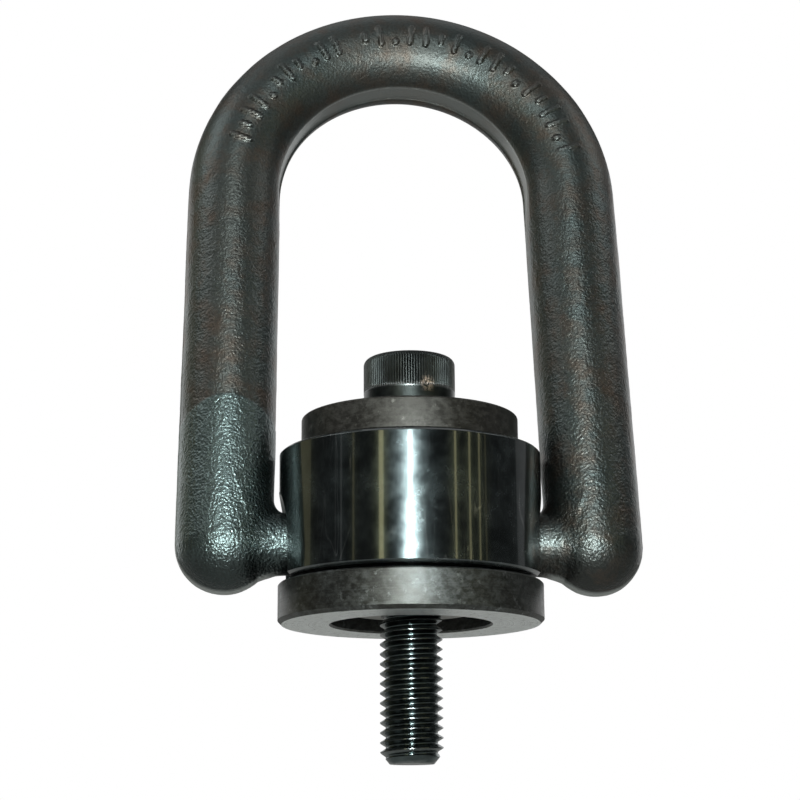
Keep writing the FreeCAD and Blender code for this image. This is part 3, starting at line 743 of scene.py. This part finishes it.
def make_screw_head():
    """Knurled head with its hex socket, and the plain shank below it."""
    cols = KNURL_TEETH * 6
    turn = full_turn(cols)
    rows = []
    shank_end = THREAD_TOP - 0.3

    def add(r, z):
        rows.append(np.stack([r * np.cos(turn), r * np.sin(turn), z + 0 * turn], -1))

    tooth = np.abs(((turn * KNURL_TEETH / (2 * math.pi)) % 1) - 0.5) * 2
    valley = smoothstep(tooth, 0.25, 0.95)
    add(SHANK_R - 0.4, shank_end)
    add(SHANK_R - 0.05, shank_end)
    add(SHANK_R - 0.05, shank_end + 0.3)
    add(SHANK_R, shank_end + 0.5)
    for r, z in ((SHANK_R, HEAD_LOW - 0.7), (SHANK_R + 0.1, HEAD_LOW), (HEAD_R - 0.75, HEAD_LOW + 0.001),
                 (HEAD_R - 0.45, HEAD_LOW + 0.02), (HEAD_R - 0.2, HEAD_LOW + 0.15),
                 (HEAD_R - 0.08, HEAD_LOW + 0.4), (HEAD_R - 0.05, HEAD_LOW + 0.7)):
        add(r, z)
    for z in np.linspace(HEAD_LOW + 1.0, KNURL_LOW - 0.3, 5):
        add(HEAD_R - 0.05, z)
    for z in np.concatenate([np.linspace(KNURL_LOW - 0.1, KNURL_LOW + 0.9, 9),
                             np.linspace(KNURL_LOW + 1.3, KNURL_HIGH - 0.8, 6)]):
        cut = KNURL_DEPTH * smoothstep(z, KNURL_LOW, KNURL_LOW + 0.8)
        add(HEAD_R - 0.05 * (z < KNURL_LOW) - cut * valley, z)
    for t in np.linspace(0, math.pi / 2, 12):
        r = HEAD_R - HEAD_EDGE * (1 - math.cos(t))
        z = HEAD_TOP - HEAD_EDGE * (1 - math.sin(t))
        cut = KNURL_DEPTH * (1 - smoothstep(t, 0.1, 0.85))
        add(r - cut * valley, z)
    for r in (7.6, 6.6, 6.05, 5.85):
        add(r, HEAD_TOP)
    in_side = ((turn + math.pi / 6) % (math.pi / 3)) - math.pi / 6
    hexagon = SOCKET_AF / 2 / np.cos(in_side)
    floor = HEAD_TOP - SOCKET_DEPTH
    for drop in (0.05, 0.12):
        add(np.maximum(hexagon, SOCKET_RIM_R - drop), HEAD_TOP - drop)
    for drop in (0.35, 0.6, 0.9, 1.3, 3.0, 5.0):
        add(np.maximum(hexagon, SOCKET_RIM_R - drop * 1.2), HEAD_TOP - drop)
    add(hexagon, floor + 0.3)
    add(hexagon - 0.08, floor + 0.05)
    for part, dip in ((0.93, 0.0), (0.7, 0.25), (0.45, 0.55), (0.2, 0.9)):
        add(DRILL_R * part, floor - dip)
    verts = np.concatenate(rows)
    faces = grid_faces(len(rows), cols)
    last = (len(rows) - 1) * cols
    verts = np.concatenate([verts, [[0, 0, floor - DRILL_TIP], [0, 0, shank_end]]])
    tip, base = len(verts) - 2, len(verts) - 1
    faces += [(last + j, last + (j + 1) % cols, tip) for j in range(cols)]
    faces += [((j + 1) % cols, j, base) for j in range(cols)]
    head = new_object("socket_head", verts, faces)
    outward(head)
    r = np.hypot(verts[:, 0], verts[:, 1])
    z = verts[:, 2]
    runout = np.exp(-((z - KNURL_LOW - 0.35) / 0.4) ** 2) * (r > 9.2) * 0.35
    crest = ((r > HEAD_R - 0.05) & (z > KNURL_LOW)) * 0.1
    spot = np.hypot((np.arctan2(verts[:, 1], verts[:, 0]) - WORN_AT) * 9.5, z - WORN_Z)
    worn = np.clip(1.6 - spot / 1.1, 0, 1) * (r > 9)
    mark(head, edge=np.clip(runout + crest, 0, 1), worn=worn)
    sharpen(head, 40)
    return head


THREAD_PHASE = -0.34  # of a turn, so that the crests stand where the photo has them
RUNOUT_R = 5.6  # radius where the thread runs out under the shank
# Half of one thread, from crest to root: the part of a pitch, and the radius.
FLANK = [(0.0, THREAD_R - 0.02), (0.055, THREAD_R - 0.03), (0.085, THREAD_R - 0.12),
         (0.35, THREAD_ROOT_R + 0.2), (0.39, THREAD_ROOT_R + 0.07), (0.45, THREAD_ROOT_R + 0.01),
         (0.5, THREAD_ROOT_R)]


def make_thread():
    """The right-hand thread as a helical surface, cut back to a cone at the stud's end."""
    cols = 96
    profile = FLANK + [(1 - at, r) for at, r in reversed(FLANK[1:-1])]
    top, bottom = THREAD_TOP, STUD_END
    turns = int((top - bottom) / PITCH) + 3
    angle = full_turn(cols)
    z, r = [], []
    for n in range(-1, turns):
        for at, radius in profile:
            z.append(bottom - PITCH + (n + at + THREAD_PHASE) * PITCH + PITCH * angle / (2 * math.pi))
            r.append(np.full(cols, radius))
    rows, z, r = len(z), np.array(z), np.array(r)
    clamped = np.clip(z, bottom, top)
    cone = STUD_END_R + (clamped - bottom) * (THREAD_R - STUD_END_R) / STUD_CONE
    fade = smoothstep(clamped, top - 0.9, top - 0.1)
    r = np.where(z < bottom, STUD_END_R, r)
    r = np.minimum(r, cone)
    r = np.where(z > top, RUNOUT_R, r * (1 - fade) + RUNOUT_R * fade)
    verts = np.stack([r * np.cos(angle), r * np.sin(angle), clamped], -1).reshape(-1, 3)
    faces = []
    for i in range(rows - 1):
        for j in range(cols):
            beside = i * cols + j + 1
            if j == cols - 1:  # the last column meets the first one a whole thread further up
                beside = (i + len(profile)) * cols
            if beside + cols < rows * cols:
                faces.append((i * cols + j, beside, beside + cols, (i + 1) * cols + j))
    thread = new_object("stud_thread", verts, faces)
    bm = bmesh.new()
    bm.from_mesh(thread.data)
    bmesh.ops.remove_doubles(bm, verts=bm.verts, dist=1e-7)
    bmesh.ops.dissolve_degenerate(bm, edges=bm.edges, dist=1e-7)
    rims = [e for e in bm.edges if len(e.link_faces) == 1]
    bmesh.ops.holes_fill(bm, edges=rims, sides=0)
    bmesh.ops.recalc_face_normals(bm, faces=bm.faces)
    bm.to_mesh(thread.data)
    bm.free()
    co = np.array([v.co for v in thread.data.vertices]) / MM
    rad = np.hypot(co[:, 0], co[:, 1])
    rim = np.exp(-((rad - STUD_END_R) / 0.25) ** 2) * (co[:, 2] < STUD_END + 0.3)
    mark(thread, edge=np.clip(0.32 * smoothstep(rad, 6.1, 6.3) + 0.8 * rim, 0, 1), worn=0 * rad)
    sharpen(thread, 48)
    return thread


# ---------------------------------------------------------------- swivel body


def tapered_cutter(side):
    """The prism that cuts one trunnion relief: an arch with sloping walls, open below."""
    arcs = [math.pi * k / 48 for k in range(49)]
    past = 3
    verts = []
    for x in (RELIEF_FLOOR, BODY_R + past):
        r = RELIEF_R + (x - RELIEF_FLOOR) * math.tan(RELIEF_TAPER)
        verts += [(side * x, r * math.cos(t), PIVOT_Z + r * math.sin(t)) for t in arcs]
        verts += [(side * x, y, BODY_BOTTOM - past) for y in (-r, r)]
    return new_object("cutter", verts, tube_faces(2, len(arcs) + 2), False)


def bore_cutter(reach=40, sides=96):
    """The cylinder that bores both trunnion holes."""
    verts = [(x, TRUNNION_BORE * math.cos(t), PIVOT_Z + TRUNNION_BORE * math.sin(t))
             for x in (-reach, reach) for t in full_turn(sides)]
    return new_object("cutter", verts, tube_faces(2, sides), False)


def make_body():
    """The polished block, with its centre bore, ring slot, trunnion holes and the reliefs round them."""
    low, high = 0.7, 0.45
    outline = rounded([
        (BODY_BORE, BODY_BOTTOM + 0.4, 0.05), (BODY_BORE + 0.4, BODY_BOTTOM, 0.05),
        (SLOT_IN, BODY_BOTTOM, 0.05), (SLOT_IN, SLOT_TOP, 0.05),
        (SLOT_OUT, SLOT_TOP, 0.05), (SLOT_OUT, BODY_BOTTOM, 0.05),
        (BODY_R - low, BODY_BOTTOM, 0.1), (BODY_R, BODY_BOTTOM + low, 0.12),
        (BODY_R, BODY_TOP - high, 0.15), (BODY_R - high, BODY_TOP, 0.15),
        (BODY_BORE + 0.4, BODY_TOP, 0.05), (BODY_BORE, BODY_TOP - 0.4, 0.05)], 3)
    body = lathe("polished_swivel_body", outline, 360)
    cutters = [tapered_cutter(1), tapered_cutter(-1), bore_cutter()]
    for cutter in cutters:
        outward(cutter)
        cut = body.modifiers.new("cut", "BOOLEAN")
        cut.operation, cut.solver, cut.object = "DIFFERENCE", "EXACT", cutter
    applied(body)
    for cutter in cutters:
        bpy.data.objects.remove(cutter)
    sharpen(body, 25)
    return body


# ---------------------------------------------------------------- pieces on their bodies


def dress(obj, material, body, node):
    """Gives a piece its material, and says which body it rides on and which CAD node it replaces."""
    obj.data.materials.clear()
    obj.data.materials.append(material)
    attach(obj, body)
    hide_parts(node)


forged = forged_material()
polished = polished_material()
flange_steel = turned_material("machined_flange", FLANGE_LIGHT, FLANGE_DARK, 0.43, 1.0, 0.25, SEAT_BARE_PAINTED_LIGHT)
washer_steel = turned_material("machined_washer", WASHER_LIGHT, WASHER_DARK, 0.52, 0.8, 0.2)
head_oxide = screw_material("head_oxide", HEAD_OXIDE, 0.3)
thread_oxide = screw_material("thread_oxide", THREAD_OXIDE, 0.15)
ring_steel = steel_material("ring_steel", RING_STEEL, 0.4)

dress(make_u_bar(), forged, "bail", "u_bar")
dress(make_bushing(), flange_steel, "base", "flanged_bushing")
dress(make_washer(), washer_steel, "base", "top_washer")
dress(make_body(), polished, "swivel", "swivel_body")
dress(make_clip(), ring_steel, "screw", "screw_retaining_ring")
dress(make_screw_head(), head_oxide, "screw", "socket_head_screw")
dress(make_thread(), thread_oxide, "screw", "socket_head_screw")
# The trunnion ring is hidden in its slot, so the CAD's own mesh is enough.
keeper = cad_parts["trunnion_retaining_ring"]
keeper.data.materials.clear()
keeper.data.materials.append(ring_steel)

# ---------------------------------------------------------------- studio

FLOOR_Z = -95.0
bpy.ops.mesh.primitive_plane_add(size=30, location=(0, 0, FLOOR_Z * MM))
floor = bpy.context.object
floor.name = "floor"
n = Nodes("pale_floor")
pale = n.mix(n.span(n.noise(0.004, 3), 0.3, 0.7), (0.6, 0.6, 0.59), (0.64, 0.64, 0.63))
# The glow is for camera rays alone, so the floor stays pale without lighting the part from below.
glow = n.math("MULTIPLY", n.node("LightPath").outputs["Is Camera Ray"], 0.62)
floor.data.materials.append(n.finish(colour=pale, rough=0.8, glow=(1, 1, 1), glow_strength=glow))

# The camera looks along +Y from CAMERA_AT, pitched and rolled in radians, and is then all turned by YAW round
# the part's axis. The studio's lights in front are turned with it.
YAW, PITCH_UP, ROLL = math.radians(-4.47), 0.237, -0.006
CAMERA_AT = (-1.96, -376.738, -44.163)
LENS, SENSOR = 83.75, 36.0

spin = Matrix.Rotation(YAW, 3, "Z")
ahead = spin @ Vector((0, math.cos(PITCH_UP), math.sin(PITCH_UP)))
level = spin @ Vector((1, 0, 0))
upright = spin @ Vector((0, -math.sin(PITCH_UP), math.cos(PITCH_UP)))
right = math.cos(ROLL) * level + math.sin(ROLL) * upright
up = -math.sin(ROLL) * level + math.cos(ROLL) * upright
place = spin @ Vector(CAMERA_AT) * MM
camera = bpy.data.objects.new("camera", bpy.data.cameras.new("camera"))
bpy.context.scene.collection.objects.link(camera)
camera.matrix_world = Matrix((
    (right.x, up.x, -ahead.x, place.x),
    (right.y, up.y, -ahead.y, place.y),
    (right.z, up.z, -ahead.z, place.z),
    (0, 0, 0, 1)))
camera.data.sensor_width = SENSOR
camera.data.lens = LENS
camera.data.clip_start, camera.data.clip_end = 0.01, 60
bpy.context.scene.camera = camera


WHITE, COOL, NEUTRAL, BEIGE = (1.0, 1.0, 1.0), (0.93, 1.0, 1.0), (0.97, 1.0, 0.98), (1.0, 0.92, 0.52)
LIGHT_AWAY = 700.0  # how far the front lights stand from the part's axis


def area_light(name, at_mm, look_mm, width_mm, height_mm, power, colour=WHITE, spread=180):
    light = bpy.data.lights.new(name, "AREA")
    light.shape = "RECTANGLE"
    light.size, light.size_y = width_mm * MM, height_mm * MM
    light.energy = power
    light.color = colour
    light.spread = math.radians(spread)
    obj = bpy.data.objects.new(name, light)
    bpy.context.scene.collection.objects.link(obj)
    at, look = Vector(at_mm) * MM, Vector(look_mm) * MM
    obj.location = at
    obj.rotation_euler = (look - at).to_track_quat("-Z", "Y").to_euler()
    obj.visible_camera = False


def front(degrees, height):
    """A place on the ring of front lights, at an angle from straight ahead of the camera."""
    turn = math.radians(degrees) + YAW
    return LIGHT_AWAY * math.sin(turn), -LIGHT_AWAY * math.cos(turn), height


def strip(degrees, wide_degrees, power_density, colour):
    """A tall thin light round the front, seen as a vertical line in the polished block."""
    width, tall = LIGHT_AWAY * math.radians(wide_degrees), 420.0
    power = power_density * width * tall * MM * MM
    area_light(f"strip_{degrees:g}", front(degrees, 190), (0, 0, 160), width, tall, power, colour)


# Angle and width in degrees, watts a square metre, and colour.
for strip_values in (
        (-66.3, 1.0, 0.6, NEUTRAL), (-60.6, 1.6, 1.1, NEUTRAL), (-49.0, 1.8, 1.6, BEIGE),
        (-24.4, 4.0, 8.5, BEIGE), (38.4, 1.8, 7.0, BEIGE), (51.3, 1.8, 5.5, BEIGE),
        (60.6, 1.6, 4.5, BEIGE), (66.8, 1.2, 1.3, BEIGE)):
    strip(*strip_values)
eye = place / MM
area_light("flash", (eye.x, eye.y, 10), (0, 0, 45), 46, 30, 0.28, COOL, 75)
area_light("core", front(0, 160), (0, 0, 22), 54, 190, 0.27, COOL)
area_light("high", front(0, 480), (0, 0, 22), 80, 190, 0.97, COOL)
# Name, place, height looked at, width, height, watts, colour.
for name, at, look_z, width, height, power, colour in (
        ("soft_top", (-150, -250, 700), 40, 700, 700, 0.46, WHITE),
        ("soft_up", (0, 250, 750), 40, 700, 500, 0.53, WHITE),
        ("soft_left", (-750, 350, 350), 50, 500, 700, 0.28, BEIGE),
        ("soft_high_left", (-600, -50, 600), 50, 400, 400, 1.15, WHITE),
        ("soft_high_right", (600, -50, 600), 50, 400, 400, 0.9, WHITE),
        ("soft_right", (750, 350, 350), 50, 500, 700, 0.2, WHITE),
        ("soft_back", (0, 900, 400), 50, 700, 600, 0.9, WHITE),
        ("soft_back_left", (-550, 750, 250), 50, 500, 500, 0.9, WHITE),
        ("soft_back_right", (550, 750, 250), 50, 500, 500, 0.9, WHITE)):
    area_light(name, at, (0, 0, look_z), width, height, power, colour)

# The world is white to the camera and a dim grey to everything else.
world = bpy.data.worlds.new("studio")
bpy.context.scene.world = world
world.use_nodes = True
tree = world.node_tree
back = tree.nodes["Background"]
seen = tree.nodes.new("ShaderNodeBackground")
seen.inputs["Color"].default_value = (1, 1, 1, 1)
seen.inputs["Strength"].default_value = 1.0
back.inputs["Color"].default_value = (0.96, 1.0, 0.99, 1)
back.inputs["Strength"].default_value = 0.046
path = tree.nodes.new("ShaderNodeLightPath")
mix = tree.nodes.new("ShaderNodeMixShader")
tree.links.new(path.outputs["Is Camera Ray"], mix.inputs[0])
tree.links.new(back.outputs[0], mix.inputs[1])
tree.links.new(seen.outputs[0], mix.inputs[2])
tree.links.new(mix.outputs[0], tree.nodes["World Output"].inputs["Surface"])
bpy.context.scene.view_settings.view_transform = "Standard"
bpy.context.scene.view_settings.look = "None"

bpy.context.view_layer.update()
